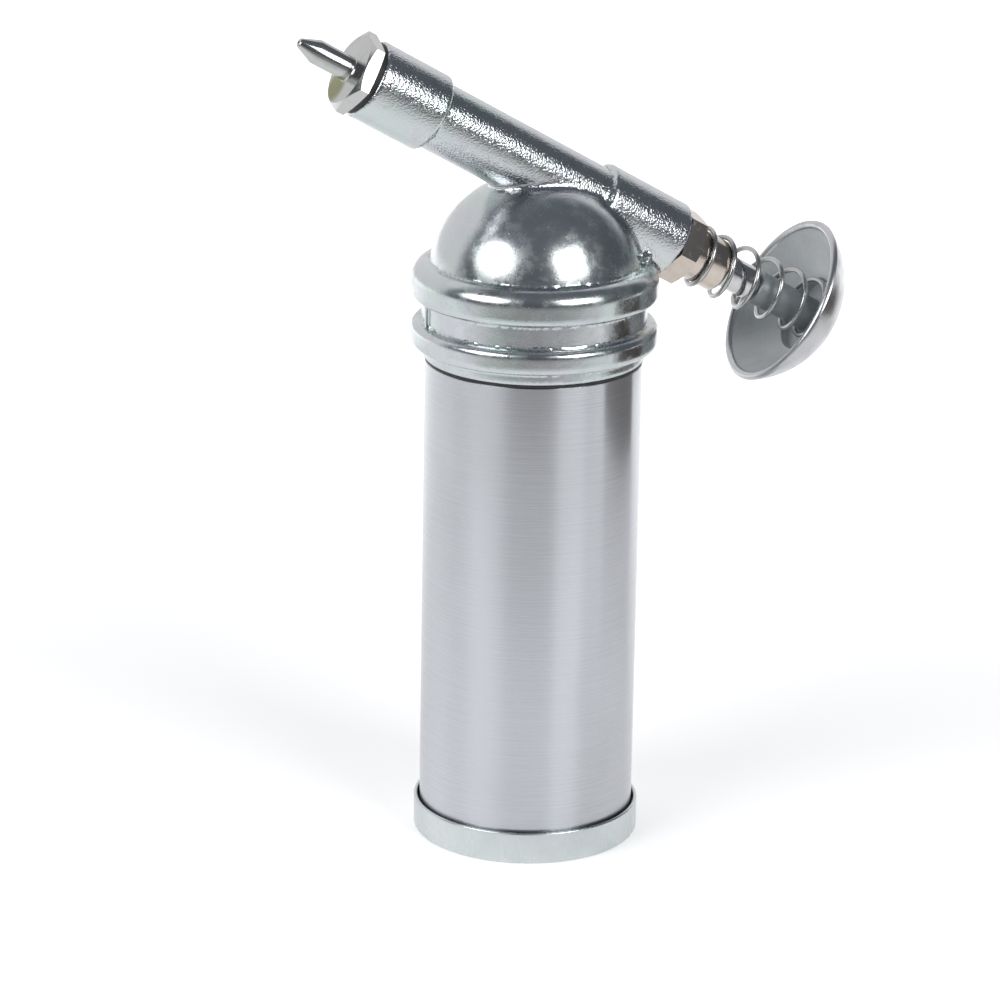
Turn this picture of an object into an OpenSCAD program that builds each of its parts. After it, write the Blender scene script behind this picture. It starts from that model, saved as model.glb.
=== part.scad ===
// Mini push-type grease gun. A container tube stands on a pressed base cap and carries a
// screw-on pump head. The head's slanted barrel has a needle nozzle at its upper end and a
// sprung palm button at its lower end.
// Heights run up the tube's axis from the base. Stations along the barrel run from the point
// where the barrel's axis crosses the tube's axis, positive towards the nozzle.

/* [Container] */
// Outer diameter of the container tube
tube_od = 38; // [34:0.5:42]
// Wall of the container tube
tube_wall = 1.5; // [1.2:0.1:2]
// Length of the container tube
tube_length = 85.5; // [75:0.5:110]
// Height of the base cap's rim above the surface it stands on
cap_h = 5.8; // [4:0.1:9]
// Floor of the base cap, under the tube
cap_floor = 1.6; // [1:0.1:2.5]
// Wall of the base cap's rim
cap_wall = 0.65; // [0.5:0.05:1]
// Gap all round between the tube and the base cap's rim
cap_gap = 0.35; // [0.1:0.05:0.5]
// Rounding of the base cap's lower edge
cap_edge = 0.5; // [0.2:0.1:0.6]

/* [Follower] */
// Height of the follower piston
follower_h = 7; // [6:0.5:12]
// Thickness of the follower's disc
follower_disc = 2; // [1.5:0.1:3]
// Wall of the follower's skirt
follower_skirt = 2.6; // [2.2:0.1:2.8]
// Gap all round between the follower and the tube
follower_gap = 0.3; // [0.2:0.05:0.5]
// Height of the follower's rubber ring
follower_seal_h = 2.4; // [1.5:0.1:3]
// Depth of the groove that holds the rubber ring
follower_groove = 1.4; // [1:0.1:1.6]
// Wire of the follower's spring
follower_wire = 1.6; // [1:0.1:2]
// Gap all round between the follower's spring and the follower's skirt
follower_coil_gap = 0.8; // [0.4:0.1:3]
// Turns of the follower's spring, with its two closed ends
follower_turns = 8; // [6:0.5:10]

/* [Head collar and dome] */
// Thickness of the gasket under the head's skirt
gasket_t = 0.4; // [0.3:0.1:1]
// Length of the spigot that screws into the tube
spigot_h = 7.8; // [6:0.1:12]
// Wall of the spigot
spigot_wall = 2.9; // [2:0.1:4]
// Gap all round between the spigot and the tube
spigot_fit = 0.1; // [0.05:0.01:0.2]
// Diameter of the skirt that meets the gasket
skirt_d = 38.6; // [38:0.1:42]
// Height of the skirt
skirt_h = 2.2; // [1.5:0.1:4]
// Diameter of the collar's two beads
bead_d = 43; // [42:0.1:46]
// Height of the lower bead
lower_bead_h = 4.3; // [3.5:0.1:6]
// Rounding of the lower bead
lower_bead_round = 1.2; // [0.5:0.1:1.6]
// Diameter of the groove between the beads
groove_d = 39.2; // [38:0.1:41]
// Height of the groove between the beads
groove_h = 4.2; // [3:0.1:6]
// Height of the upper bead
upper_bead_h = 6.3; // [5:0.1:8]
// Rounding of the upper bead's lower edge
upper_bead_low_round = 1.2; // [0.5:0.1:2]
// Rounding of the upper bead's top edge
upper_bead_top_round = 2.8; // [1:0.1:3]
// Radius of the dome
dome_r = 18.6; // [17:0.1:19.5]
// Depth of the dome's centre below the collar's top
dome_sink = 3.2; // [2:0.1:5]
// Radius of the hollow inside the dome
dome_hollow_r = 12.2; // [10:0.1:12.4]

/* [Barrel] */
// Slope of the barrel
barrel_tilt = 30; // [25:0.5:35]
// Distance of the barrel's axis from the dome's centre
barrel_lift = 16.7; // [16.7:0.1:18]
// Station of the barrel's front face
barrel_front = 36; // [35:0.5:45]
// Length of the thick front end
front_l = 13.5; // [13:0.5:18]
// Diameter of the thick front end
front_d = 14; // [13:0.1:16]
// Diameter of the middle of the barrel
mid_d = 12; // [11:0.1:13]
// Station of the step to the thick rear end, behind the tube's axis
rear_step = 12; // [11:0.1:13]
// Diameter of the thick rear end
rear_d = 14; // [13:0.1:15]
// Rounding of the barrel's shoulders
shoulder_round = 0.5; // [0.2:0.1:0.9]
// Radius of the fillet between barrel and dome
fillet_r = 1.8; // [1:0.1:2.4]
// Height of the cast pad on top of the barrel
pad_h = 0.4; // [0.2:0.1:0.8]
// Length of the cast pad
pad_l = 7; // [4:0.5:9]
// Width of the cast pad
pad_w = 4.4; // [3:0.2:6]
// Station of the cast pad's middle
pad_at = 5.8; // [4:0.2:8]

/* [Pump] */
// Diameter of the plunger rod
rod_d = 6; // [5:0.1:6.4]
// Gap all round between the rod and the bores that guide it
rod_fit = 0.08; // [0.03:0.01:0.1]
// Travel of the plunger
stroke = 18; // [10:0.5:18]
// Diameter of the port that lets grease into the pump bore
inlet_d = 3.2; // [2:0.1:4]
// Diameter of the passage to the check valve
passage_d = 3.2; // [2:0.1:3.6]
// Diameter of the socket that the gland nut screws into
gland_socket_d = 9.5; // [9:0.1:10]
// Length of the rubber packing round the rod
rod_seal_l = 2.8; // [2:0.1:4]

/* [Check valve] */
// Diameter of the check ball
ball_d = 5; // [4:0.1:5.2]
// Diameter of the chamber round the ball
chamber_d = 6.4; // [6.2:0.1:7.4]
// Lift of the ball
ball_lift = 1; // [0.5:0.1:1.1]
// Wire of the check spring
check_wire = 0.4; // [0.3:0.05:0.6]
// Diameter of the check spring, through the middle of its wire
check_coil_d = 3.4; // [3:0.1:3.6]
// Turns of the check spring, with its two closed ends
check_turns = 6; // [5:0.5:7]

/* [Nozzle] */
// Width across the nozzle's flats
nozzle_af = 13; // [12:0.1:14]
// Thickness of the nozzle's hexagon
nozzle_hex = 2.5; // [2:0.1:5]
// Turn of the nozzle's hexagon about the barrel
nozzle_hex_turn = 16; // [0:1:59]
// Thickness of the sealing washer under the hexagon
washer_t = 0.9; // [0.3:0.1:1.2]
// Diameter of the socket that the nozzle screws into
nozzle_socket_d = 10; // [9.5:0.1:10.5]
// Length of the nozzle's shank inside the barrel
shank_l = 8; // [7:0.1:9]
// Depth of the hole in the shank that holds the check spring
spring_hole_l = 4; // [3:0.1:5]
// Diameter of the needle
needle_d = 4.3; // [3.5:0.1:5]
// Length of the needle's straight part
needle_l = 6.8; // [3:0.1:12]
// Length of the needle's conical tip
cone_l = 3.4; // [3:0.1:8]
// Diameter of the flat at the very tip
tip_d = 1.5; // [1.2:0.1:2]
// Diameter of the passage inside the needle
feed_d = 2; // [1.2:0.1:2.4]
// Diameter of the outlet
outlet_d = 0.5; // [0.4:0.1:0.8]

/* [Gland nut] */
// Width across the gland nut's flats
gland_af = 12; // [11:0.1:13]
// Thickness of the gland nut's hexagon
gland_hex = 4; // [3.5:0.1:7]
// Turn of the gland nut's hexagon about the barrel
gland_hex_turn = 22; // [0:1:59]
// Gap between the gland nut's lowest corner and the collar's upper bead
gland_clear = 0.05; // [0.05:0.05:2]
// Diameter of the gland nut's round boss
gland_boss_d = 9.2; // [8.6:0.1:9.4]
// Length of the gland nut's round boss
gland_boss_l = 7.2; // [4:0.1:7.5]
// Length of the gland nut's shank inside the barrel
gland_shank_l = 8; // [6:0.1:8]

/* [Return spring] */
// Wire of the return spring
spring_wire = 0.9; // [0.6:0.05:1]
// Diameter of the return spring, through the middle of its wire
spring_coil_d = 10.3; // [10.2:0.1:10.6]
// Length of the spring as fitted
spring_length = 28.5; // [26.5:0.1:32]
// Turns of the spring, with its two closed ends
spring_turns = 6.2; // [5:0.1:7]
// Rise of the spring's first and last turn
spring_end_rise = 3; // [1.2:0.1:4]
// Sideways lean of the spring's loose end
spring_lean = 1.2; // [0:0.1:1.4]

/* [Palm button] */
// Diameter over the button's rim
button_d = 31; // [28:0.5:34]
// Height of the button's domed outside
button_rise = 9.4; // [8.8:0.1:12]
// Depth of the button's hollow inside
button_hollow = 6.9; // [6:0.1:7.2]
// Thickness of the button's rounded lip
button_lip = 1.5; // [0.8:0.1:1.6]
// Gap all round between the spring's loose end and its seat in the hollow
spring_seat_gap = 0.15; // [0.1:0.05:0.4]
// Depth of the spring's seat
spring_seat = 0.3; // [0.2:0.1:0.6]
// Length of the button's stem, which is as thick as the rod
stem_l = 13.5; // [8:0.1:15]
// Length of the neck between stem and rod
neck_l = 1.2; // [0.8:0.1:2]
// Diameter of the neck between stem and rod
neck_d = 4.6; // [4.3:0.1:4.8]
// Diameter of the rod's end that is fixed in the stem
tang_d = 4; // [3.4:0.1:4.2]
// Length of the rod's end that is fixed in the stem
tang_l = 6; // [4:0.1:8]

/* [Hidden] */
$fn = 64;

// Running clearance between pieces that only rest on each other
rest_gap = 0.05;
// Clearance of a screwed or pressed piece in its socket
socket_fit = 0.1;
// How far a cut runs past the face that it opens
past = 1;
// Overlap of the plain parts of a rounded section
lap = 0.1;
// Rise of a closed spring turn, in wires
closed_turn = 1.08;
// Share of the width across flats that a hexagon's chamfer leaves flat
hex_face = 0.96;
// Slope of a hexagon's chamfer
hex_chamfer = 30;
// Broken edges of turned and moulded pieces
fine_edge = 0.3;
soft_edge = 0.5;
// How far the fillet's ball sinks into the surfaces that it blends
fillet_sink = 0.1;
// How far the fillet's root lies inside the corner that it fills
fillet_root = 0.8;

// Container
tube_r = tube_od / 2;
bore_r = tube_r - tube_wall;
cap_r = tube_r + cap_gap + cap_wall;
tube_top = cap_floor + tube_length;

// Head
head_z = tube_top + gasket_t;
spigot_r = bore_r - spigot_fit;
spigot_z = head_z - spigot_h;
hollow_r = spigot_r - spigot_wall;
lower_bead_z = head_z + skirt_h;
groove_z = lower_bead_z + lower_bead_h;
upper_bead_z = groove_z + groove_h;
collar_top = upper_bead_z + upper_bead_h;
dome_z = collar_top - dome_sink;

// Follower, resting under the spigot as in an empty gun
follower_top = spigot_z - rest_gap;
follower_z = follower_top - follower_h;
follower_r = bore_r - follower_gap;
follower_coil_d = 2 * (follower_r - follower_skirt - follower_coil_gap) - follower_wire;
follower_spring_h = follower_top - follower_disc - cap_floor - 2 * rest_gap;

// Barrel, whose rear face lets the gland nut's lowest corner clear the collar
gland_corner_off = (180 - gland_hex_turn + 30) % 60 - 30;
gland_corner_low = gland_af / sqrt(3) * cos(gland_corner_off);
barrel_rear = (bead_d / 2 + gland_clear + gland_corner_low * sin(barrel_tilt)) / cos(barrel_tilt);
barrel_z = dome_z + barrel_lift / cos(barrel_tilt);
front_at = barrel_front - front_l;
rear_at = -rear_step;
inlet_at = -barrel_lift * tan(barrel_tilt);
fillet_front = inlet_at + fillet_reach(mid_d / 2);
fillet_rear = -barrel_rear + past;

// Distance along the barrel from the dome's centre to the far end of its fillet.
function fillet_reach(radius) =
    sqrt(pow(dome_r + fillet_r - fillet_sink, 2) - pow(barrel_lift - radius - fillet_r + fillet_sink, 2));

// Pump
rod_bore_r = rod_d / 2 + rod_fit;
tip_clear = 0.5;
tip_at = inlet_at - inlet_d / 2 - tip_clear;
pump_end = tip_at + stroke + tip_clear + past;
gland_at = -barrel_rear;
gland_face = gland_at - gland_hex;
boss_end = gland_face - gland_boss_l;
gland_shank_end = gland_at + gland_shank_l;
rod_seal_at = gland_shank_end + rest_gap;
packing_floor = rod_seal_at + rod_seal_l + rest_gap;

// Check valve, with the ball on a seat that slopes at 45 degrees
nozzle_at = barrel_front + washer_t;
shank_end = nozzle_at - shank_l;
nozzle_socket_end = shank_end - rest_gap;
lift_clear = 0.7;
ball_at = nozzle_socket_end - lift_clear - ball_lift - ball_d / 2;
seat_at = ball_at - rest_gap - ball_d / 2 * sqrt(2) + passage_d / 2;
seat_cone_l = (chamber_d - passage_d) / 2;
check_start = ball_at + sqrt(ball_d * ball_d - check_coil_d * check_coil_d) / 2 + rest_gap;
check_end = shank_end + spring_hole_l;
nozzle_face = nozzle_at + nozzle_hex;
cone_at = nozzle_face + needle_l;
nozzle_tip = cone_at + cone_l;

// Palm button
spring_seat_at = gland_face - spring_length;
spring_seat_r = (spring_coil_d + spring_wire) / 2 + spring_lean + spring_seat_gap;
button_floor = spring_seat_at + spring_seat;
button_rim = button_floor + button_hollow;
button_r = button_d / 2;
button_outer_r = dome_radius(button_r, button_rise);
button_inner_r = dome_radius(button_r - button_lip, button_hollow);
stem_end = spring_seat_at + stem_l;
rod_end = stem_end + neck_l;

// Radius of the ball that has a cap of this base radius and rise.
function dome_radius(base, rise) = (base * base + rise * rise) / (2 * rise);

// Rise of a coil's wire at this turn: closer at both ends, evenly open between them.
function coil_rise(turn, turns, length, wire, end_rise) =
    let (pitch = (length - wire - 2 * end_rise) / (turns - 2))
    turn < 1 ? turn * end_rise :
    turn < turns - 1 ? end_rise + (turn - 1) * pitch :
    length - wire - (turns - turn) * end_rise;

// Radius of the barrel that the fillet follows, which eases over the step to the thick rear end.
function fillet_track(station) =
    let (share = (rear_at + fillet_r - station) / (2 * fillet_r))
    (mid_d + (rear_d - mid_d) * min(1, max(0, share))) / 2;

// Centre of the fillet's ball where it touches the dome and a barrel of this radius, at a station
// and on one side of the barrel, in the barrel's frame.
function ball_at_fillet(radius, station, side) =
    let (reach = radius + fillet_r - fillet_sink,
         along = station - inlet_at,
         level = (pow(dome_r + fillet_r - fillet_sink, 2) - reach * reach - barrel_lift * barrel_lift
             - along * along) / (2 * barrel_lift))
    [level, side * sqrt(max(0, reach * reach - level * level)), station];

// Section of the fillet about its ball's centre: the arc from barrel to dome, then a point that
// lies inside both.
function fillet_section(ball, steps) =
    let (to_barrel = unit([-ball.x, -ball.y, 0]),
         to_dome = unit([-barrel_lift - ball.x, -ball.y, inlet_at - ball.z]),
         spread = acos(to_barrel * to_dome),
         corner = fillet_r / cos(spread / 2) + fillet_root)
    concat([for (i = [0:steps])
            ball + fillet_r * (sin(spread * (1 - i / steps)) * to_barrel + sin(spread * i / steps) * to_dome)
                / sin(spread)],
        [ball + corner * unit(to_barrel + to_dome)]);

// Direction of a vector.
function unit(v) = v / norm(v);

// Moves what is drawn on +Z, from its origin, to the barrel's axis.
module on_barrel(at = 0) {
    translate([0, 0, barrel_z]) rotate([0, barrel_tilt - 90, 0]) translate([0, 0, at]) children();
}

// Plain cylinder or tube between two stations of the barrel.
module barrel_cut(from, to, d) {
    on_barrel(from) cylinder(h = to - from, d = d);
}

// Half section of a turned disc: inner and outer radius, bottom and top, rounded outer edges.
module disc_section(inner, outer, low, high, low_round = 0, high_round = 0) {
    translate([inner, low + low_round]) square([outer - inner, high - low - low_round - high_round]);
    if (low_round > 0) {
        translate([inner, low]) square([outer - low_round - inner, low_round + lap]);
        translate([outer - low_round, low + low_round]) circle(low_round);
    }
    if (high_round > 0) {
        translate([inner, high - high_round - lap])
        square([outer - high_round - inner, high_round + lap]);
        translate([outer - high_round, high - high_round]) circle(high_round);
    }
}

// Turned disc with rounded outer edges.
module turned_disc(outer, low, high, low_round = 0, high_round = 0) {
    rotate_extrude() disc_section(0, outer, low, high, low_round, high_round);
}

// Washer or sleeve on +Z.
module ring(outer, inner, h) {
    difference() {
        cylinder(h = h, r = outer);
        translate([0, 0, -past]) cylinder(h = h + 2 * past, r = inner);
    }
}

// Hexagon bar of the width across flats, with its corners turned off at the top.
module hexagon(across, h, turn) {
    corner_r = across / sqrt(3);
    face_r = across / 2 * hex_face;
    intersection() {
        rotate([0, 0, turn]) cylinder(h = h, r = corner_r, $fn = 6);
        cylinder(h = h, r1 = face_r + h / tan(hex_chamfer), r2 = face_r);
    }
}

// Coil spring on +Z that stands on its origin. Above a height, the lean carries it along +X.
module coil_spring(coil_d, wire, length, turns, end_rise, start = 0, lean = 0, lean_from = 0,
        steps = 24, sides = 8) {
    rings = ceil(turns * steps);
    points = [for (i = [0:rings], j = [0:sides - 1])
        let (turn = i * turns / rings,
             around = start + 360 * turn,
             side = 360 * j / sides,
             rise = wire / 2 + coil_rise(turn, turns, length, wire, end_rise),
             reach = coil_d / 2 + wire / 2 * cos(side),
             aside = lean * max(0, rise - lean_from) / (length - lean_from))
        [reach * cos(around) + aside, reach * sin(around), rise + wire / 2 * sin(side)]];
    walls = [for (i = [0:rings - 1], j = [0:sides - 1])
        let (k = (j + 1) % sides)
        [i * sides + j, i * sides + k, (i + 1) * sides + k, (i + 1) * sides + j]];
    first = [[for (j = [sides - 1:-1:0]) j]];
    last = [[for (j = [0:sides - 1]) rings * sides + j]];
    polyhedron(points, concat(walls, first, last), convexity = 10);
}

module base_cap() {
    color("lightsteelblue")
    difference() {
        turned_disc(cap_r, 0, cap_h, cap_edge, cap_wall / 3);
        translate([0, 0, cap_floor]) cylinder(h = cap_h, r = tube_r + cap_gap);
    }
}

module container_tube() {
    color("silver")
    translate([0, 0, cap_floor]) ring(tube_r, bore_r, tube_length);
}

module follower_spring() {
    color("gray")
    translate([0, 0, cap_floor + rest_gap])
    coil_spring(follower_coil_d, follower_wire, follower_spring_h, follower_turns,
        closed_turn * follower_wire, steps = 20);
}

module follower_piston() {
    groove_z = follower_z + (follower_h - follower_seal_h) / 2;
    color("dimgray")
    difference() {
        turned_disc(follower_r, follower_z, follower_top, soft_edge, soft_edge);
        translate([0, 0, follower_z - past])
        cylinder(h = follower_h - follower_disc + past, r = follower_r - follower_skirt);
        translate([0, 0, groove_z]) ring(follower_r + past, follower_r - follower_groove, follower_seal_h);
    }
}

module follower_seal() {
    low = follower_z + (follower_h - follower_seal_h) / 2 + rest_gap;
    color("black")
    rotate_extrude()
    disc_section(follower_r - follower_groove + rest_gap, bore_r - rest_gap, low,
        low + follower_seal_h - 2 * rest_gap, soft_edge, soft_edge);
}

module collar_gasket() {
    color("black")
    translate([0, 0, tube_top]) ring(tube_r, spigot_r + socket_fit, gasket_t);
}

// Outside of the collar, turned about the tube's axis.
module collar() {
    rotate_extrude() {
        disc_section(0, spigot_r, spigot_z, head_z + past, soft_edge);
        disc_section(0, skirt_d / 2, head_z, lower_bead_z + past, fine_edge);
        disc_section(0, bead_d / 2, lower_bead_z, groove_z, lower_bead_round, lower_bead_round);
        disc_section(0, groove_d / 2, groove_z - past, upper_bead_z + past);
        disc_section(0, bead_d / 2, upper_bead_z, collar_top, upper_bead_low_round, upper_bead_top_round);
    }
}

// Outside of the barrel: thick ends, slimmer middle and the cast pad on top.
module barrel() {
    on_barrel() {
        turned_disc(front_d / 2, front_at, barrel_front, shoulder_round, shoulder_round);
        translate([0, 0, rear_at - past]) cylinder(h = front_at - rear_at + 2 * past, d = mid_d);
        turned_disc(rear_d / 2, -barrel_rear, rear_at, shoulder_round, shoulder_round);
        intersection() {
            translate([0, 0, pad_at - pad_l / 2]) cylinder(h = pad_l, d = mid_d + 2 * pad_h);
            translate([0, -pad_w / 2, pad_at - pad_l / 2]) cube([mid_d, pad_w, pad_l]);
        }
    }
}

// Skin of sections that follow each other, closed at both ends.
module lofted(sections) {
    size = len(sections[0]);
    last = (len(sections) - 1) * size;
    walls = [for (i = [0:len(sections) - 2], j = [0:size - 1])
        let (a = i * size + j, b = i * size + (j + 1) % size)
        each [[a, b, b + size], [a, b + size, a + size]]];
    near = [[for (j = [size - 1:-1:0]) j]];
    far = [[for (j = [0:size - 1]) last + j]];
    polyhedron([for (section = sections) each section], concat(walls, near, far), convexity = 6);
}

// Cast fillet in the corner between the barrel and the dome, as a ball rolls along it: from the
// collar's bead on one side, round the front, to the bead on the other side.
module barrel_fillet(turns = 95, steps = 6) {
    middle = (fillet_front + fillet_rear) / 2;
    half = (fillet_front - fillet_rear) / 2;
    on_barrel() lofted([for (i = [0:turns])
        let (side = i < turns / 2 ? -1 : 1,
             station = middle - half * cos(360 * i / turns))
        fillet_section(ball_at_fillet(fillet_track(station), station, side), steps)]);
}

// Grease space inside the spigot and the dome.
module head_hollow() {
    translate([0, 0, spigot_z - past]) cylinder(h = upper_bead_z - spigot_z + past, r = hollow_r);
    translate([0, 0, upper_bead_z]) cylinder(h = dome_z - upper_bead_z, r1 = hollow_r, r2 = dome_hollow_r);
    translate([0, 0, dome_z]) sphere(dome_hollow_r);
}

// Bores along the barrel, from the gland nut's socket to the nozzle's socket, and the inlet port.
module barrel_bores() {
    barrel_cut(-barrel_rear - past, packing_floor, gland_socket_d);
    barrel_cut(packing_floor - past, pump_end, 2 * rod_bore_r);
    barrel_cut(pump_end - past, seat_at + past, passage_d);
    on_barrel() rotate_extrude() polygon([[0, seat_at], [passage_d / 2, seat_at],
        [chamber_d / 2, seat_at + seat_cone_l], [chamber_d / 2, nozzle_socket_end + past],
        [0, nozzle_socket_end + past]]);
    barrel_cut(nozzle_socket_end, barrel_front + past, nozzle_socket_d);
    on_barrel(inlet_at) rotate([0, -90, 0]) cylinder(h = barrel_lift - dome_hollow_r + past, d = inlet_d);
}

module head_casting() {
    color("gainsboro")
    difference() {
        union() {
            collar();
            translate([0, 0, dome_z]) sphere(dome_r);
            barrel();
            barrel_fillet();
        }
        head_hollow();
        barrel_bores();
    }
}

module nozzle_washer() {
    color("darkslategray")
    on_barrel(barrel_front) ring(front_d / 2 - shoulder_round, nozzle_socket_d / 2, washer_t);
}

module nozzle() {
    shank_r = nozzle_socket_d / 2 - socket_fit;
    hole_r = check_coil_d / 2 + check_wire;
    color("silver")
    difference() {
        on_barrel() {
            translate([0, 0, nozzle_at]) hexagon(nozzle_af, nozzle_hex, nozzle_hex_turn);
            translate([0, 0, shank_end]) cylinder(h = shank_l + past, r = shank_r);
            translate([0, 0, nozzle_face - past]) cylinder(h = needle_l + past, d = needle_d);
            translate([0, 0, cone_at]) cylinder(h = cone_l, d1 = needle_d, d2 = tip_d);
        }
        barrel_cut(shank_end - past, check_end, 2 * hole_r);
        barrel_cut(check_end - past, cone_at, feed_d);
        barrel_cut(cone_at - past, nozzle_tip + past, outlet_d);
    }
}

module check_ball() {
    color("lightgray")
    on_barrel(ball_at) sphere(d = ball_d);
}

module check_spring() {
    color("gray")
    on_barrel(check_start)
    coil_spring(check_coil_d, check_wire, check_end - check_start - rest_gap, check_turns,
        closed_turn * check_wire, steps = 16, sides = 6);
}

module gland_nut() {
    color("rosybrown")
    difference() {
        on_barrel() {
            translate([0, 0, gland_at]) rotate([180, 0, 0]) hexagon(gland_af, gland_hex, -gland_hex_turn);
            turned_disc(gland_boss_d / 2, boss_end, gland_face + past, soft_edge);
            translate([0, 0, gland_at - past])
            cylinder(h = gland_shank_l + past, d = gland_socket_d - 2 * socket_fit);
        }
        barrel_cut(boss_end - past, gland_shank_end + past, 2 * rod_bore_r);
    }
}

module rod_seal() {
    color("black")
    on_barrel(rod_seal_at) ring(gland_socket_d / 2 - rest_gap, rod_bore_r, rod_seal_l);
}

module plunger_rod() {
    color("silver")
    on_barrel() {
        turned_disc(rod_d / 2, rod_end, tip_at, fine_edge, soft_edge);
        translate([0, 0, stem_end]) cylinder(h = neck_l + past, d = neck_d);
        translate([0, 0, stem_end - tang_l]) cylinder(h = tang_l + past, d = tang_d);
    }
}

module return_spring() {
    color("lightgray")
    on_barrel(gland_face - rest_gap) rotate([180, 0, 0])
    coil_spring(spring_coil_d, spring_wire, spring_length - 2 * rest_gap, spring_turns,
        spring_end_rise, 180, spring_lean, gland_boss_l);
}

module palm_button() {
    color("darkgray")
    difference() {
        on_barrel() {
            rotate_extrude() {
                difference() {
                    translate([0, button_rim - button_rise + button_outer_r]) circle(button_outer_r);
                    translate([0, button_floor + button_inner_r]) circle(button_inner_r);
                    translate([-2 * button_d, button_rim]) square([4 * button_d, 4 * button_d]);
                    translate([-2 * button_d, button_rim - button_rise - past])
                    square([2 * button_d, button_rise + 2 * past]);
                    translate([0, spring_seat_at]) square([spring_seat_r, button_hollow]);
                }
                translate([button_r - button_lip / 2, button_rim]) circle(button_lip / 2);
            }
            translate([0, 0, spring_seat_at - past]) cylinder(h = stem_l + past, d = rod_d);
        }
        barrel_cut(stem_end - tang_l - rest_gap, stem_end + past, tang_d + 2 * socket_fit);
    }
}

base_cap();
container_tube();
follower_spring();
follower_piston();
follower_seal();
collar_gasket();
head_casting();
nozzle_washer();
nozzle();
check_ball();
check_spring();
gland_nut();
rod_seal();
plunger_rod();
return_spring();
palm_button();
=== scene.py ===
"""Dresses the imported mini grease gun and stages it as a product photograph.

Sizes are in millimetres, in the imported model's frame. Heights run up the container tube from the
base. Stations run along the pump barrel from the point where its axis crosses the tube's axis,
positive towards the nozzle. A piece is modelled at that scale, and its place and the change to
metres are applied to its mesh at the end.
"""

from __future__ import annotations

import logging
import math
from dataclasses import dataclass
from enum import Enum
from typing import Any, Iterable, Sequence

import bpy
from mathutils import Matrix, Vector

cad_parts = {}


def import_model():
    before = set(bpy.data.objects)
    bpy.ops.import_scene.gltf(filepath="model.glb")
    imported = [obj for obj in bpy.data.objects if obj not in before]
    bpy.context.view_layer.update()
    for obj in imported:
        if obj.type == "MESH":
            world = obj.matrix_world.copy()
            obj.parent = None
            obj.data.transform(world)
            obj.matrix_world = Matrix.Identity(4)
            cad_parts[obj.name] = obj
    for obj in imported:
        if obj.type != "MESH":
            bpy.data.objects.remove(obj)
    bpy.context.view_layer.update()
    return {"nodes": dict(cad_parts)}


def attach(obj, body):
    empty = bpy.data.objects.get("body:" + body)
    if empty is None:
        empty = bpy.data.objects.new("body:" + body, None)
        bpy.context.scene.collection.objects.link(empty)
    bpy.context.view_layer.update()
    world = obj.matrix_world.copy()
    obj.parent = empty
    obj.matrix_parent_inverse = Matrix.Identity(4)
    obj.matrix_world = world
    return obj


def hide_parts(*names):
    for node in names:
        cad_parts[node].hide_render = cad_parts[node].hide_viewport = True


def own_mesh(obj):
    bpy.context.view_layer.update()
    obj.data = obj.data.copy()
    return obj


LOG = logging.getLogger("grease_gun")
MM = 0.001
HEX_CHAMFER = 30.0

Colour = tuple[float, float, float, float]
Point = tuple[float, float]
Piece = bpy.types.Object


class Outline:
    """Half section of a turned piece, drawn as (radius, height) points from end to end."""

    def __init__(self, *points: Point) -> None:
        """Starts the outline with these points."""
        self.points: list[Point] = list(points)

    def to(self, *points: Point) -> Outline:
        """Draws straight on to each of these points in turn."""
        self.points.extend(points)
        return self

    def arc(self, centre: Point, radius: float, start: float, end: float, steps: int = 8) -> Outline:
        """Draws on along part of a circle.

        Args:
            centre: Radius and height of the circle's centre.
            radius: Radius of the circle.
            start: First angle in degrees, from the outward direction.
            end: Last angle in degrees.
            steps: Number of straight runs.

        Returns:
            The outline itself.
        """
        for step in range(steps + 1):
            angle = math.radians(start + (end - start) * step / steps)
            self.points.append((centre[0] + radius * math.cos(angle), centre[1] + radius * math.sin(angle)))
        return self

    def close(self) -> Outline:
        """Draws back to the first point, for a ring that is clear of the axis."""
        self.points.append(self.points[0])
        return self


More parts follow.
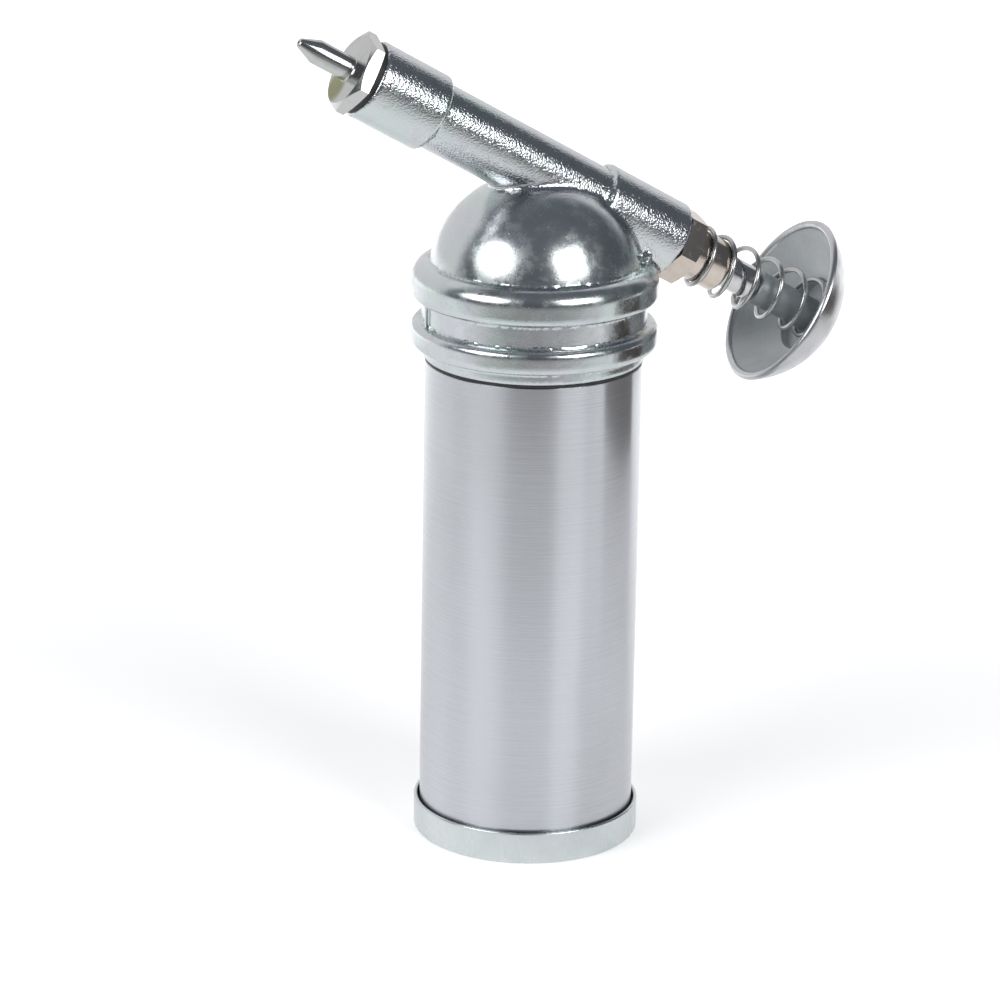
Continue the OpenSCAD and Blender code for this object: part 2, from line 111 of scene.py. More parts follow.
class Bench:
    """Modelling steps that the pieces share."""

    @staticmethod
    def clear() -> None:
        """Leaves edit mode and deselects everything."""
        if bpy.context.mode != "OBJECT":
            bpy.ops.object.mode_set(mode="OBJECT")
        bpy.ops.object.select_all(action="DESELECT")

    @classmethod
    def pick(cls, *pieces: Piece) -> None:
        """Selects these pieces alone and makes the first one active."""
        cls.clear()
        for piece in pieces:
            piece.select_set(True)
        bpy.context.view_layer.objects.active = pieces[0]

    @classmethod
    def chain(cls, name: str, points: Iterable[Vector]) -> Piece:
        """Draws an open chain of edges by extruding one vertex from point to point.

        Args:
            name: Name of the new piece.
            points: Points of the chain.

        Returns:
            The piece, in object mode.
        """
        cls.clear()
        bpy.ops.mesh.primitive_circle_add(vertices=3, radius=1.0)
        piece = bpy.context.object
        piece.name = piece.data.name = name
        bpy.ops.object.mode_set(mode="EDIT")
        bpy.ops.mesh.select_all(action="SELECT")
        bpy.ops.mesh.merge(type="CENTER")
        last = Vector()
        for number, point in enumerate(points):
            if number == 0:
                bpy.ops.transform.translate(value=point)
            else:
                bpy.ops.mesh.extrude_vertices_move(TRANSFORM_OT_translate={"value": point - last})
            last = point
        bpy.ops.object.mode_set(mode="OBJECT")
        return piece

    @classmethod
    def turn(cls, name: str, outline: Outline, steps: int = 192) -> Piece:
        """Turns a piece about +Z from its half section.

        Args:
            name: Name of the new piece.
            outline: Half section of the piece.
            steps: Number of faces round the piece.

        Returns:
            The closed piece, in object mode.
        """
        piece = cls.chain(name, (Vector((radius, 0.0, height)) for radius, height in outline.points))
        bpy.ops.object.mode_set(mode="EDIT")
        bpy.ops.mesh.select_all(action="SELECT")
        bpy.ops.mesh.spin(steps=steps, angle=2 * math.pi, center=(0, 0, 0), axis=(0, 0, 1))
        cls.heal()
        return piece

    @staticmethod
    def heal(gap: float = 1e-4) -> None:
        """Merges doubles of the piece in edit mode, turns its faces outwards and leaves edit mode."""
        bpy.ops.mesh.select_all(action="SELECT")
        bpy.ops.mesh.remove_doubles(threshold=gap)
        bpy.ops.mesh.normals_make_consistent(inside=False)
        bpy.ops.object.mode_set(mode="OBJECT")

    @classmethod
    def mill_flats(cls, piece: Piece, across: float, turn: float) -> None:
        """Cuts six flats on a turned piece.

        Args:
            piece: The turned piece, on +Z.
            across: Width across the flats.
            turn: Angle of one corner, in degrees.
        """
        cls.pick(piece)
        bpy.ops.object.mode_set(mode="EDIT")
        for side in range(6):
            angle = math.radians(turn + 30 + 60 * side)
            normal = Vector((math.cos(angle), math.sin(angle), 0.0))
            bpy.ops.mesh.select_all(action="SELECT")
            bpy.ops.mesh.bisect(
                plane_co=normal * across / 2, plane_no=normal, use_fill=True, clear_outer=True
            )
        cls.heal()

    @classmethod
    def modify(cls, piece: Piece, kind: str, **settings: Any) -> None:
        """Adds a modifier with these settings and applies it.

        Args:
            piece: The piece to change.
            kind: Type of the modifier.
            settings: Its settings.
        """
        cls.pick(piece)
        modifier = piece.modifiers.new(kind.title(), kind)
        for key, value in settings.items():
            setattr(modifier, key, value)
        bpy.ops.object.modifier_apply(modifier=modifier.name)

    @classmethod
    def cut(cls, piece: Piece, tool: Piece) -> None:
        """Cuts another mesh out of a piece and deletes that mesh.

        Args:
            piece: The piece that stays.
            tool: The mesh that is cut out.
        """
        cls.modify(piece, "BOOLEAN", object=tool, operation="DIFFERENCE", solver="EXACT")
        bpy.data.objects.remove(tool)

    @classmethod
    def move(cls, piece: Piece, place: Matrix) -> Piece:
        """Applies a change of place to a piece's mesh and returns the piece."""
        cls.pick(piece)
        piece.matrix_world = place
        bpy.ops.object.transform_apply(location=True, rotation=True, scale=True)
        return piece

    @classmethod
    def finish(cls, piece: Piece, place: Matrix, crease: float = 32.0) -> Piece:
        """Puts a piece in its place, in metres, and smooths its shading.

        Args:
            piece: The piece, in millimetres.
            place: Its place, in millimetres.
            crease: Angle in degrees above which an edge stays sharp.

        Returns:
            The piece.
        """
        cls.move(piece, Matrix.Scale(MM, 4) @ place)
        bpy.ops.object.shade_smooth_by_angle(angle=math.radians(crease))
        return piece

    @classmethod
    def block(cls, place: Matrix, size: Sequence[float]) -> Piece:
        """A block of these three sizes about this place."""
        cls.clear()
        bpy.ops.mesh.primitive_cube_add(size=1.0)
        return cls.move(bpy.context.object, place @ Matrix.Diagonal((*size, 1.0)))

    @staticmethod
    def hexagon(across: float, share: float) -> tuple[float, float, float]:
        """Corner radius, face radius and chamfer depth of a hexagon whose face is this share of its flats."""
        corner, face = across / math.sqrt(3), across / 2 * share
        return corner, face, (corner - face) * math.tan(math.radians(HEX_CHAMFER))


@dataclass(frozen=True)
class Layout:
    """Places that several pieces share."""

    tilt: float = 30.0
    crossing: float = 120.5835

    def barrel(self, station: float = 0.0) -> Matrix:
        """Place on the barrel whose +Z runs towards the nozzle."""
        turn = Matrix.Rotation(math.radians(self.tilt - 90.0), 4, "Y")
        return Matrix.Translation((0.0, 0.0, self.crossing)) @ turn @ Matrix.Translation((0.0, 0.0, station))

    def point(self, station: float) -> Vector:
        """Point on the barrel's axis, in millimetres."""
        return self.barrel(station).translation

    @property
    def axis(self) -> Vector:
        """Direction of the barrel towards the nozzle."""
        return (self.point(1.0) - self.point(0.0)).normalized()


LAYOUT = Layout()


class Value:
    """Output of a shader node on which arithmetic adds Math nodes."""

    def __init__(self, graph: Graph, socket: bpy.types.NodeSocket) -> None:
        """Wraps one output socket."""
        self.graph = graph
        self.socket = socket

    def __add__(self, other: Value | float) -> Value:
        """Sum."""
        return self.graph.maths("ADD", self, other)

    __radd__ = __add__

    def __sub__(self, other: Value | float) -> Value:
        """Difference."""
        return self.graph.maths("SUBTRACT", self, other)

    def __rsub__(self, other: float) -> Value:
        """Difference from a number."""
        return self.graph.maths("SUBTRACT", other, self)

    def __mul__(self, other: Value | float) -> Value:
        """Product."""
        return self.graph.maths("MULTIPLY", self, other)

    __rmul__ = __mul__

    def __truediv__(self, other: Value | float) -> Value:
        """Quotient."""
        return self.graph.maths("DIVIDE", self, other)

    def __rtruediv__(self, other: float) -> Value:
        """Quotient of a number."""
        return self.graph.maths("DIVIDE", other, self)

    def window(self, low: float, high: float) -> Value:
        """Smooth step from 0 at low to 1 at high."""
        return self.graph.value(
            "MapRange",
            {"interpolation_type": "SMOOTHSTEP"},
            {"Value": self, "From Min": low, "From Max": high},
        )


class Graph:
    """Node tree of one material or of the world."""

    def __init__(self, owner: bpy.types.Material | bpy.types.World) -> None:
        """Empties the node tree of a material or world."""
        owner.use_nodes = True
        self.tree = owner.node_tree
        self.tree.nodes.clear()

    def node(
        self, kind: str, settings: dict[str, Any] | None = None, sockets: dict[Any, Any] | None = None
    ) -> bpy.types.Node:
        """Adds one node.

        Args:
            kind: The node's type, without its usual first words.
            settings: Properties that are set first.
            sockets: Values or links of its inputs, by name or number.

        Returns:
            The node.
        """
        made = self.tree.nodes.new("ShaderNode" + kind)
        for key, value in (settings or {}).items():
            setattr(made, key, value)
        for key, value in (sockets or {}).items():
            if isinstance(value, Value):
                self.tree.links.new(value.socket, made.inputs[key])
            else:
                made.inputs[key].default_value = value
        return made

    def value(
        self,
        kind: str,
        settings: dict[str, Any] | None = None,
        sockets: dict[Any, Any] | None = None,
        output: int | str = 0,
    ) -> Value:
        """Adds one node and gives one of its outputs, the first unless it is named."""
        return Value(self, self.node(kind, settings, sockets).outputs[output])

    def maths(self, operation: str, first: Value | float, second: Value | float) -> Value:
        """Adds a Math node of two inputs."""
        return self.value("Math", {"operation": operation}, {0: first, 1: second})

    def place(self) -> Value:
        """Object coordinates, in metres."""
        return self.value("TexCoord", output="Object")

    def vectors(self, operation: str, first: Value, second: Vector, output: int | str = 0) -> Value:
        """Adds a Vector Math node of two inputs."""
        return self.value("VectorMath", {"operation": operation}, {0: first, 1: second}, output)

    def along(self, direction: Vector) -> Value:
        """Distance along a direction from the frame's origin, in millimetres."""
        return self.vectors("DOT_PRODUCT", self.place(), direction / MM, "Value")

    def away(self, point: Vector) -> Value:
        """Vector from a point, given in millimetres, to the shaded place, in metres."""
        return self.vectors("SUBTRACT", self.place(), point * MM)

    def length(self, vector: Value) -> Value:
        """Length of a vector in metres, given in millimetres."""
        return self.value("VectorMath", {"operation": "LENGTH"}, {0: vector}, "Value") / MM

    def off_axis(self, point: Vector, axis: Vector) -> Value:
        """Distance in millimetres from the line through a point along an axis."""
        return self.length(self.vectors("CROSS_PRODUCT", self.away(point), axis))

    def mapped(self, size: float | Sequence[float], turn: float = 0.0) -> Value:
        """Object coordinates measured in one or three sizes in millimetres, turned about Y in degrees."""
        sizes = (size,) * 3 if isinstance(size, (int, float)) else tuple(size)
        scale = tuple(part * MM for part in sizes)
        spin = (0.0, math.radians(turn), 0.0)
        return self.value(
            "Mapping", {"vector_type": "TEXTURE"}, {"Vector": self.place(), "Rotation": spin, "Scale": scale}
        )

    def grain(
        self, size: float | Sequence[float], detail: float = 3.0, roughness: float = 0.55, turn: float = 0.0
    ) -> Value:
        """Noise of this grain.

        Args:
            size: Size of a grain in millimetres, or its three sizes.
            detail: Finer octaves that are added.
            roughness: Weight of the finer octaves.
            turn: Turn of the pattern about Y, in degrees.

        Returns:
            The noise, from 0 to 1.
        """
        vector = self.mapped(size, turn)
        return self.value(
            "TexNoise", sockets={"Vector": vector, "Scale": 1.0, "Detail": detail, "Roughness": roughness}
        )

    def pits(self, spacing: float, share: float) -> Value:
        """Round pits, 1 in their middle, in this share of the cells of a loose grid."""
        cells = self.node("TexVoronoi", sockets={"Vector": self.mapped(spacing), "Scale": 1.0})
        near = 1.0 - Value(self, cells.outputs["Distance"]).window(0.05, 0.3)
        chance = self.value("SeparateColor", sockets={0: Value(self, cells.outputs["Color"])})
        return near * chance.window(1.0 - share, 1.0 - share + 0.02)

    def blend(self, share: Value | float, first: Value | Colour, second: Value | Colour) -> Value:
        """Colour between two others."""
        return self.value(
            "Mix", {"data_type": "RGBA"}, {0: share, 6: first, 7: second}, output=2
        )

    def bump(self, height: Value, depth: float) -> Value:
        """Normal of a surface whose relief has this depth, in millimetres."""
        return self.value("Bump", sockets={"Height": height, "Distance": depth * MM, "Strength": 1.0})

    def shader(self, sockets: dict[str, Any]) -> Value:
        """A Principled shader with these sockets."""
        return self.value("BsdfPrincipled", sockets=sockets)

    def surface(self, sockets: dict[str, Any]) -> None:
        """Ends the material in a Principled shader with these sockets."""
        self.node("OutputMaterial", sockets={"Surface": self.shader(sockets)})


@dataclass(frozen=True)
class Finish:
    """What one kind of surface looks like."""

    name: str

    def material(self) -> bpy.types.Material:
        """The finish's material, made on first use."""
        found = bpy.data.materials.get(self.name)
        if found is None:
            found = bpy.data.materials.new(self.name)
            self.paint(Graph(found))
        return found

    def paint(self, graph: Graph) -> None:
        """Adds the finish's nodes to an empty tree."""
        raise NotImplementedError


@dataclass(frozen=True)
class SatinTube(Finish):
    """Drawn aluminium with a fine brushing round the tube, partly polished over."""

    colour: Colour = (0.545, 0.56, 0.59, 1.0)
    worn: Colour = (0.485, 0.495, 0.52, 1.0)
    roughness: float = 0.29
    polished: float = 0.45
    polished_roughness: float = 0.11

    def paint(self, graph: Graph) -> None:
        """Fine rings round the tube, clouded by handling, with a few scuffs."""
        rings = graph.grain((14.0, 14.0, 0.09), 2.0)
        clouds = graph.grain((26.0, 26.0, 40.0), 3.0)
        scuffs = graph.grain((2.2, 2.2, 0.5), 4.0).window(0.63, 0.74)
        wear = clouds.window(0.42, 0.75) * 0.7 + rings.window(0.3, 0.7) * 0.3
        colour = graph.blend(wear, self.colour, self.worn)
        relief = graph.bump(rings, 0.0012)
        brushed = graph.shader(
            {
                "Base Color": colour,
                "Metallic": 1.0,
                "Roughness": self.roughness + (rings - 0.5) * 0.08 + scuffs * 0.05,
                "Anisotropic": 0.95,
                "Anisotropic Rotation": 0.25,
                "Normal": relief,
            }
        )
        roughness = self.polished_roughness + rings.window(0.3, 0.7) * 0.06 + scuffs * 0.1
        polished = graph.shader(
            {"Base Color": colour, "Metallic": 1.0, "Roughness": roughness, "Normal": relief}
        )
        share = self.polished + (rings - 0.5) * 0.3 - clouds.window(0.42, 0.75) * 0.1
        both = graph.value("MixShader", sockets={0: share, 1: brushed, 2: polished})
        graph.node("OutputMaterial", sockets={"Surface": both})


@dataclass(frozen=True)
class PressedCap(Finish):
    """Pressed steel cap with a pale bluish plating."""

    colour: Colour = (0.60, 0.64, 0.645, 1.0)
    dull: Colour = (0.54, 0.58, 0.59, 1.0)
    roughness: float = 0.28

    def paint(self, graph: Graph) -> None:
        """Cloudy plating over the faint marks of the press."""
        clouds = graph.grain(7.0, 4.0)
        draw = graph.grain((1.2, 1.2, 9.0), 3.0)
        graph.surface(
            {
                "Base Color": graph.blend(clouds.window(0.35, 0.75), self.colour, self.dull),
                "Metallic": 1.0,
                "Roughness": self.roughness + (draw - 0.5) * 0.12,
                "Normal": graph.bump(draw, 0.002),
            }
        )


@dataclass(frozen=True)
class PlatedCasting(Finish):
    """Zinc-plated die casting: bright, with an orange-peel skin that is coarser on the barrel."""

    colour: Colour = (0.55, 0.575, 0.59, 1.0)
    mint: Colour = (0.52, 0.585, 0.57, 1.0)
    lavender: Colour = (0.52, 0.52, 0.58, 1.0)
    olive: Colour = (0.44, 0.43, 0.36, 1.0)
    roughness: float = 0.16
    peel: float = 0.33
    depth: float = 0.08
    barrel_skin: tuple[float, float] = (7.1, 8.6)

    def paint(self, graph: Graph) -> None:
        """Three drifting tints, a mottled skin and the specks of plating salts."""
        on_barrel = 1.0 - graph.off_axis(LAYOUT.point(0.0), LAYOUT.axis).window(*self.barrel_skin)
        drift = graph.grain(9.0, 2.0)
        patches = graph.grain(5.0, 3.0, turn=35.0)
        stain = graph.grain(3.4, 5.0, 0.65, turn=70.0)
        skin = graph.grain(self.peel, 1.0, 0.5)
        broad = graph.grain(2.6, 2.0)
        specks = graph.pits(0.7, 0.12)
        tint = graph.blend(drift.window(0.40, 0.66), self.colour, self.mint)
        tint = graph.blend(patches.window(0.50, 0.72) * 0.8, tint, self.lavender)
        tint = graph.blend(stain.window(0.58, 0.80) * 0.7, tint, self.olive)
        haze = stain.window(0.40, 0.70) * 0.14 * (1.0 - on_barrel)
        relief = skin * (0.10 + on_barrel * 0.90) + broad * 0.25 - specks * 0.05
        graph.surface(
            {
                "Base Color": tint,
                "Metallic": 1.0,
                "Roughness": self.roughness + haze + specks * 0.2 + (1.0 - on_barrel) * 0.04,
                "Normal": graph.bump(relief, self.depth),
            }
        )


@dataclass(frozen=True)
class TurnedSteel(Finish):
    """Bright turned steel with tool marks round the barrel's axis and perhaps a dark spot: a stain on the
    nozzle, painted shade in the rod's groove.

    The spot is a place in the barrel's frame: up from its axis, across it, and its station.
    """

    colour: Colour = (0.48, 0.49, 0.485, 1.0)
    stain: Colour = (0.20, 0.21, 0.09, 1.0)
    stain_and_shade_spot: tuple[float, float, float] = (0.0, 0.0, 0.0)
    stain_and_shade_spot_r: float = 0.0
    roughness: float = 0.16
    marks: float = 0.12
    depth: float = 0.002

    def paint(self, graph: Graph) -> None:
        """Tool marks, a fine haze and the dark spot: a stain on the nozzle, painted groove shade on the rod.
        """
        lines = graph.grain((9.0, 9.0, self.marks), 2.0, turn=LAYOUT.tilt - 90.0)
        haze = graph.grain(1.6, 4.0, 0.6)
        colour = graph.blend(haze.window(0.45, 0.8) * 0.2, self.colour, self.stain)
        # The spot blends towards the stain colour: on the rod this is painted shade in the groove where the
        # rod's neck meets the button's stem, on the nozzle it is a stain.
        if self.stain_and_shade_spot_r > 0:
            reach = graph.length(graph.away(LAYOUT.barrel() @ Vector(self.stain_and_shade_spot))) + (haze - 0.5) * 1.2
            inside = 1.0 - reach.window(self.stain_and_shade_spot_r * 0.4, self.stain_and_shade_spot_r)
            colour = graph.blend(inside, colour, self.stain)
        graph.surface(
            {
                "Base Color": colour,
                "Metallic": 1.0,
                "Roughness": self.roughness + (lines - 0.5) * 0.10 + haze.window(0.5, 0.8) * 0.10,
                "Normal": graph.bump(lines, self.depth),
            }
        )


@dataclass(frozen=True)
class SandCast(Finish):
    """Unpolished cast metal: grey, grainy and pitted."""

    colour: Colour = (0.64, 0.67, 0.675, 1.0)
    dark: Colour = (0.27, 0.285, 0.29, 1.0)
    roughness: float = 0.58
    metallic: float = 0.25

    def paint(self, graph: Graph) -> None:
        """Grain, clouds and scattered casting pits."""
        grain = graph.grain(0.45, 4.0, 0.6)
        clouds = graph.grain(5.0, 3.0)
        pits = graph.pits(3.0, 0.24)
        shade = clouds.window(0.35, 0.75) * 0.2 + grain.window(0.45, 0.8) * 0.15 + pits * 0.65
        graph.surface(
            {
                "Base Color": graph.blend(shade, self.colour, self.dark),
                "Metallic": self.metallic,
                "Roughness": self.roughness + (grain - 0.5) * 0.25,
                "Normal": graph.bump(grain * 0.35 + clouds * 0.8 - pits * 2.0, 0.05),
            }
        )


@dataclass(frozen=True)
class PolishedShell(Finish):
    """Buffed and plated metal with faint buffing scratches."""

    colour: Colour = (0.52, 0.53, 0.54, 1.0)
    dull: Colour = (0.43, 0.435, 0.45, 1.0)
    roughness: float = 0.27

    def paint(self, graph: Graph) -> None:
        """Buffing scratches in two directions over a soft haze."""
        scratches = graph.grain((0.06, 5.0, 5.0), 2.0, turn=25.0)
        crossing = graph.grain((5.0, 0.08, 5.0), 2.0, turn=-40.0)
        haze = graph.grain(4.0, 4.0)
        marks = scratches.window(0.5, 0.8) * 0.5 + crossing.window(0.55, 0.8) * 0.5
        graph.surface(
            {
                "Base Color": graph.blend(haze.window(0.4, 0.8), self.colour, self.dull),
                "Metallic": 1.0,
                "Roughness": self.roughness + haze.window(0.4, 0.8) * 0.10 + marks * 0.06,
                "Normal": graph.bump(marks, 0.0015),
            }
        )


@dataclass(frozen=True)
class Moulded(Finish):
    """Moulded rubber or plastic with a fine matt skin."""

    colour: Colour = (0.020, 0.020, 0.021, 1.0)
    bloom: Colour = (0.055, 0.054, 0.052, 1.0)
    roughness: float = 0.6

    def paint(self, graph: Graph) -> None:
        """A pale bloom in patches over a fine skin."""
        skin = graph.grain(0.18, 3.0)
        bloom = graph.grain(2.4, 4.0)
        graph.surface(
            {
                "Base Color": graph.blend(bloom.window(0.45, 0.8), self.colour, self.bloom),
                "Roughness": self.roughness + (skin - 0.5) * 0.2,
                "Normal": graph.bump(skin, 0.01),
            }
        )


TUBE = SatinTube("satin_tube")
CAP = PressedCap("pressed_cap")
CASTING = PlatedCasting("plated_casting")
NOZZLE = TurnedSteel("nozzle_steel", stain_and_shade_spot=(-3.6, 1.6, 39.6), stain_and_shade_spot_r=4.2)
GLAND = TurnedSteel(
    "gland_nickel", colour=(0.56, 0.50, 0.45, 1.0), stain=(0.34, 0.27, 0.22, 1.0), roughness=0.13
)
# The rod's near-black spot at station -47.1 is painted shade in the groove between the rod's neck and the
# button's stem; the same dark colour also darkens the rod's haze at random.
ROD = TurnedSteel(
    "rod_steel", colour=(0.58, 0.58, 0.59, 1.0), stain=(0.08, 0.07, 0.065, 1.0), stain_and_shade_spot=(0.0, 0.0, -47.1),
    stain_and_shade_spot_r=3.2, roughness=0.12,
)
WIRE = TurnedSteel(
    "spring_wire", colour=(0.47, 0.48, 0.475, 1.0), stain=(0.30, 0.29, 0.27, 1.0), roughness=0.26
)
BUTTON = PolishedShell("polished_shell")
BUTTON_INSIDE = SandCast("cast_inside")
STEM = SandCast(
    "cast_stem", colour=(0.33, 0.36, 0.37, 1.0), dark=(0.22, 0.24, 0.25, 1.0), roughness=0.42, metallic=0.6
)
RUBBER = Moulded("black_rubber")
PLASTIC = Moulded(
    "grey_plastic", colour=(0.06, 0.06, 0.065, 1.0), bloom=(0.11, 0.11, 0.11, 1.0), roughness=0.45
)


@dataclass(frozen=True)
class Coil:
    """A compression spring with closer end turns that stands on its origin, on +Z."""

    name: str
    diameter: float
    wire: float
    length: float
    turns: float
    end_rise: float
    start: float = 0.0
    lean: float = 0.0
    lean_from: float = 0.0
    steps: int = 40

    def rise(self, turn: float) -> float:
        """Height of the wire's middle at this turn, from the first coil's."""
        pitch = (self.length - self.wire - 2 * self.end_rise) / (self.turns - 2)
        if turn < 1:
            return turn * self.end_rise
        if turn < self.turns - 1:
            return self.end_rise + (turn - 1) * pitch
        return self.length - self.wire - (self.turns - turn) * self.end_rise

    def build(self) -> Piece:
        """Winds the wire.

        Returns:
            The spring as a closed mesh.
        """
        points = []
        count = round(self.turns * self.steps)
        for step in range(count + 1):
            turn = self.turns * step / count
            angle = math.radians(self.start) + 2 * math.pi * turn
            height = self.wire / 2 + self.rise(turn)
            reach = self.diameter / 2
            lean = self.lean * max(0.0, height - self.lean_from) / (self.length - self.lean_from)
            points.append(Vector((reach * math.cos(angle) + lean, reach * math.sin(angle), height)))
        piece = Bench.chain(self.name, points)
        Bench.pick(piece)
        bpy.ops.object.convert(target="CURVE")
        wire = bpy.context.object.data
        wire.bevel_depth = self.wire / 2
        wire.bevel_resolution = 4
        wire.use_fill_caps = True
        bpy.ops.object.convert(target="MESH")
        piece = bpy.context.object
        bpy.ops.object.mode_set(mode="EDIT")
        Bench.heal()
        return piece


class SubAssembly:
    """Pieces that are modelled and dressed together."""

    @staticmethod
    def fit(
        piece: Piece, node: str, body: str, slot: str, *finishes: Finish
    ) -> Piece:
        """Dresses a finished piece and lets it stand for its solid.

        Args:
            piece: The piece, in place.
            node: The solid that it stands for.
            body: The body that carries it.
            slot: Not used.
            finishes: Its finishes, in the order of its material slots.

        Returns:
            The piece.
        """
        slots = piece.data.materials
        while len(slots) < len(finishes):
            slots.append(None)
        for number, finish in enumerate(finishes):
            slots[number] = finish.material()
        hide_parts(node)
        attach(piece, body)
        LOG.info("%s on %s: %d faces", piece.name, body, len(piece.data.polygons))
        return piece


@dataclass
class Container(SubAssembly):
    """Tube, base cap and the spring that pushes the follower."""

    tube_r: float = 19.0
    bore_r: float = 17.5
    tube_low: float = 1.6
    tube_top: float = 87.1
    tube_edge: float = 0.25
    cap_r: float = 20.0
    cap_h: float = 5.8
    cap_wall: float = 0.65
    cap_edge: float = 0.5
    coil_d: float = 26.0
    coil_wire: float = 1.6
    coil_h: float = 75.95
    coil_turns: float = 8.0
    coil_end_rise: float = 1.728
    coil_gap: float = 0.05
    coil_keep: float = 0.263

    def build(self) -> None:
        """Makes the container's pieces."""
        self.fit(self.cap(), "base_cap", "container", "cap", CAP)
        self.fit(self.tube(), "container_tube", "container", "tube", TUBE)
        coil = self.fit(self.coil(), "follower_spring", "container", "spring", WIRE)
        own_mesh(coil)

    def cap(self) -> Piece:
        """Pressed cup with a rounded lower edge and a rounded rim."""
        inner, edge, lip = self.cap_r - self.cap_wall, self.cap_edge, self.cap_wall / 2
        outline = Outline((0.0, 0.0)).arc((self.cap_r - edge, edge), edge, -90, 0)
        outline.arc((self.cap_r - lip, self.cap_h - lip), lip, 0, 180)
        outline.to((inner, self.tube_low), (0.0, self.tube_low))
        piece = Bench.turn("pressed_base_cap", outline)
        return Bench.finish(piece, Matrix.Identity(4))

    def tube(self) -> Piece:
        """Plain tube with broken edges."""
        outer, inner, edge = self.tube_r, self.bore_r, self.tube_edge
        outline = Outline((inner + edge, self.tube_low)).to((outer - edge, self.tube_low))
        outline.to((outer, self.tube_low + edge), (outer, self.tube_top - edge))
        outline.to((outer - edge, self.tube_top), (inner + edge, self.tube_top))
        outline.to((inner, self.tube_top - edge), (inner, self.tube_low + edge)).close()
        piece = Bench.turn("brushed_tube", outline, 256)
        return Bench.finish(piece, Matrix.Identity(4))

    def coil(self) -> Piece:
        """Spring between the cap and the follower."""
        piece = Coil(
            "follower_coil", self.coil_d, self.coil_wire, self.coil_h, self.coil_turns, self.coil_end_rise
        ).build()
        return Bench.finish(piece, Matrix.Translation((0, 0, self.tube_low + self.coil_gap)))


